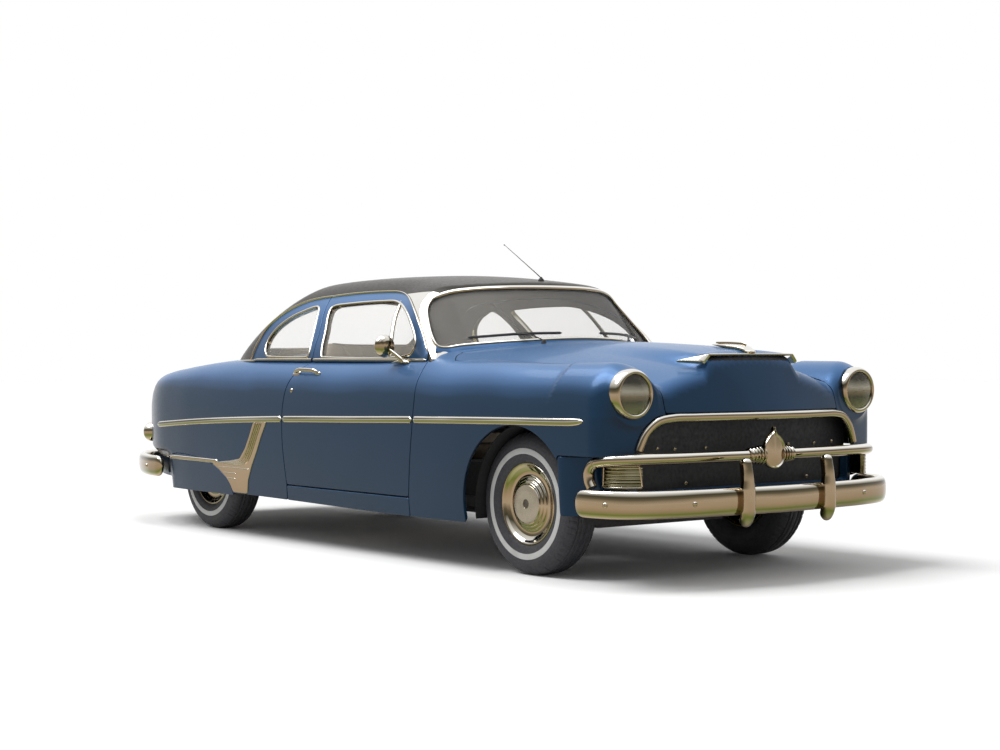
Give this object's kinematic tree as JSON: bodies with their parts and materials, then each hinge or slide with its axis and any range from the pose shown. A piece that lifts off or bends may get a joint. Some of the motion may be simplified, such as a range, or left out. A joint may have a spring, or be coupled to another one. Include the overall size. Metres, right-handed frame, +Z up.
{
  "type": "two-door coupe car",
  "caption": "Long two-door hardtop-style coupe of the early nineteen-fifties with chrome bumpers, side strips and covered rear wheels.",
  "frame": {"origin": "middle of the overall box, on the ground under the tyres", "axes": "+X forwards, +Y to the car's left, +Z up"},
  "size_m": [5.2879, 1.9486, 1.6972],
  "materials": {
    "body_paint": "semi-gloss blue paint",
    "roof_paint": "gloss dark brown paint",
    "chrome_trim": "polished",
    "window_glass": "clear",
    "tyre_rubber": "matte black with a white band",
    "black_metal": "matte black",
    "chassis_steel": "dull",
    "seat_cloth": "woven",
    "black_plastic": "gloss",
    "red_lens": "gloss"
  },
  "bodies": {
    "body": {"roof_panel": "roof_paint", "tail_panel": "body_paint", "rear_deck_panel": "body_paint", "front_apron": "body_paint", "cowl": "body_paint", "windshield": "window_glass", "rear_window": "window_glass", "front_bumper": "chrome_trim", "rear_bumper": "chrome_trim", "grille_surround": "chrome_trim", "grille_bar": "chrome_trim", "grille_backing": "black_metal", "front_suspension": "chassis_steel", "rear_axle": "chassis_steel", "floor_pan": "black_metal", "trunk_floor": "black_metal", "front_frame": "chassis_steel", "engine": "chassis_steel", "fuel_tank": "chassis_steel", "exhaust": "chassis_steel", "front_seat": "seat_cloth", "rear_seat": "seat_cloth", "dashboard": "body_paint", "steering_column": "black_metal", "antenna": "chrome_trim", "right_sill": "body_paint", "left_sill": "body_paint", "right_fender_skirt": "body_paint", "left_fender_skirt": "body_paint", "right_quarter_panel": "body_paint", "left_quarter_panel": "body_paint", "right_front_fender": "body_paint", "left_front_fender": "body_paint", "right_quarter_glass": "window_glass", "left_quarter_glass": "window_glass", "right_headlamp": "chrome_trim", "left_headlamp": "chrome_trim", "right_tail_lamp": "red_lens", "left_tail_lamp": "red_lens", "right_parking_lamp": "chrome_trim", "left_parking_lamp": "chrome_trim"},
    "hood": {"hood": "body_paint"},
    "trunk_lid": {"trunk_lid": "body_paint"},
    "right_door": {"right_door": "body_paint", "right_door_glass": "window_glass", "right_mirror": "chrome_trim"},
    "left_door": {"left_door": "body_paint", "left_door_glass": "window_glass", "left_mirror": "chrome_trim"},
    "right_knuckle": {"right_steering_knuckle": "chassis_steel"},
    "left_knuckle": {"left_steering_knuckle": "chassis_steel"},
    "steering_wheel": {"steering_wheel": "black_plastic"},
    "right_front_road_wheel": {"right_front_tyre": "tyre_rubber", "right_front_wheel": "chrome_trim"},
    "right_rear_road_wheel": {"right_rear_tyre": "tyre_rubber", "right_rear_wheel": "chrome_trim"},
    "left_front_road_wheel": {"left_front_tyre": "tyre_rubber", "left_front_wheel": "chrome_trim"},
    "left_rear_road_wheel": {"left_rear_tyre": "tyre_rubber", "left_rear_wheel": "chrome_trim"}
  },
  "joints": [
    {"name": "hood_hinge", "type": "hinge", "parent": "body", "child": "hood", "pos_m": [2.452, 0, 0.795], "axis": [0, 1, 0], "range_deg": [0, 45]},
    {"name": "trunk_hinge", "type": "hinge", "parent": "body", "child": "trunk_lid", "pos_m": [-1.497, 0, 1.074], "axis": [0, 1, 0], "range_deg": [0, 60]},
    {"name": "right_door_hinge", "type": "hinge", "parent": "body", "child": "right_door", "pos_m": [0.838, -0.972, 0.7], "axis": [0, 0, 1], "range_deg": [0, 65]},
    {"name": "left_door_hinge", "type": "hinge", "parent": "body", "child": "left_door", "pos_m": [0.838, 0.972, 0.7], "axis": [0, 0, -1], "range_deg": [0, 65]},
    {"name": "right_steer", "type": "hinge", "parent": "body", "child": "right_knuckle", "pos_m": [1.645, -0.65, 0.35], "axis": [0, 0, 1], "range_deg": [-30, 30]},
    {"name": "left_steer", "type": "hinge", "parent": "body", "child": "left_knuckle", "pos_m": [1.645, 0.65, 0.35], "axis": [0, 0, 1], "range_deg": [-30, 30]},
    {"name": "steering_wheel_turn", "type": "hinge", "parent": "body", "child": "steering_wheel", "pos_m": [0.4, 0.37, 0.95], "axis": [-0.9131, 0, 0.4078], "range_deg": [-450, 450]},
    {"name": "right_front_spin", "type": "hinge", "parent": "right_knuckle", "child": "right_front_road_wheel", "pos_m": [1.645, -0.735, 0.35], "axis": [0, 1, 0], "continuous": true},
    {"name": "right_rear_spin", "type": "hinge", "parent": "body", "child": "right_rear_road_wheel", "pos_m": [-1.502, -0.697, 0.35], "axis": [0, 1, 0], "continuous": true},
    {"name": "left_front_spin", "type": "hinge", "parent": "left_knuckle", "child": "left_front_road_wheel", "pos_m": [1.645, 0.735, 0.35], "axis": [0, 1, 0], "continuous": true},
    {"name": "left_rear_spin", "type": "hinge", "parent": "body", "child": "left_rear_road_wheel", "pos_m": [-1.502, 0.697, 0.35], "axis": [0, 1, 0], "continuous": true}
  ],
  "couplings": [
    {"joint": "left_steer", "follows": "right_steer", "ratio": 1},
    {"joint": "steering_wheel_turn", "follows": "right_steer", "ratio": 15}
  ]
}
